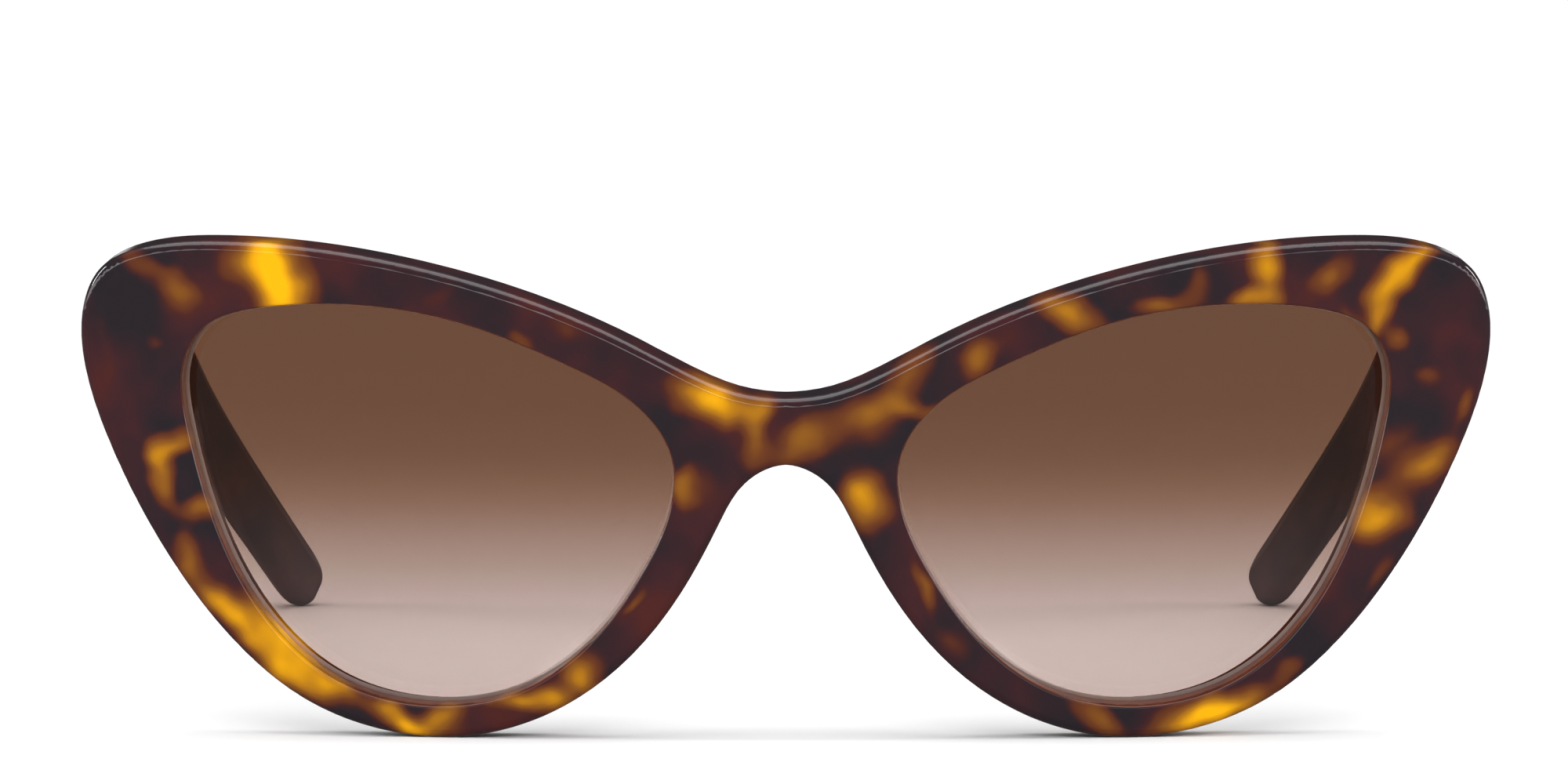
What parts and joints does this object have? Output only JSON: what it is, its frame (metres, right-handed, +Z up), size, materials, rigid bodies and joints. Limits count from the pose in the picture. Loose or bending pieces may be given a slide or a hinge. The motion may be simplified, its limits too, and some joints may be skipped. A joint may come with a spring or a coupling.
{
  "type": "sunglasses",
  "caption": "Cat eye sunglasses: bowed acetate front with upswept corners, gradient lenses, nose pads and folding temples on barrel hinges.",
  "frame": {"origin": "on the table, under the middle of the whole object's bounding box, glasses standing open", "axes": "+X towards the wearer's left temple, +Y from the front back along the temples, +Z up"},
  "size_m": [0.1484, 0.146, 0.0529],
  "materials": {
    "tortoise_acetate": "polished, near-black to aubergine with amber and gold patches",
    "temple_acetate": "polished, dark tortoise, translucent over its wire core",
    "tinted_lens": "polished, brown gradient fading to pale pink-brown at the bottom",
    "hinge_metal": "satin nickel silver",
    "rivet_metal": "satin",
    "screw_steel": "machined",
    "sleeve_nylon": "moulded",
    "core_wire": "drawn wire"
  },
  "bodies": {
    "front": {"front_frame": "tortoise_acetate", "lens_left": "tinted_lens", "lens_right": "tinted_lens", "nose_pad_left": "tortoise_acetate", "nose_pad_right": "tortoise_acetate", "front_hinge_left": "hinge_metal", "front_hinge_right": "hinge_metal", "front_hinge_rivets_left": "rivet_metal", "front_hinge_rivets_right": "rivet_metal", "hinge_screw_left": "screw_steel", "hinge_screw_right": "screw_steel", "screw_sleeve_left": "sleeve_nylon", "screw_sleeve_right": "sleeve_nylon"},
    "temple_left": {"temple_left": "temple_acetate", "temple_core_left": "core_wire", "temple_hinge_left": "hinge_metal", "temple_hinge_rivets_left": "rivet_metal"},
    "temple_right": {"temple_right": "temple_acetate", "temple_core_right": "core_wire", "temple_hinge_right": "hinge_metal", "temple_hinge_rivets_right": "rivet_metal"}
  },
  "joints": [
    {"name": "hinge_left", "type": "hinge", "parent": "front", "child": "temple_left", "pos_m": [0.0655, -0.05491, 0.042], "axis": [0, 0.0663, 0.9978], "range_deg": [0, 85]},
    {"name": "hinge_right", "type": "hinge", "parent": "front", "child": "temple_right", "pos_m": [-0.0655, -0.05491, 0.042], "axis": [0, -0.0663, -0.9978], "range_deg": [0, 66]}
  ]
}
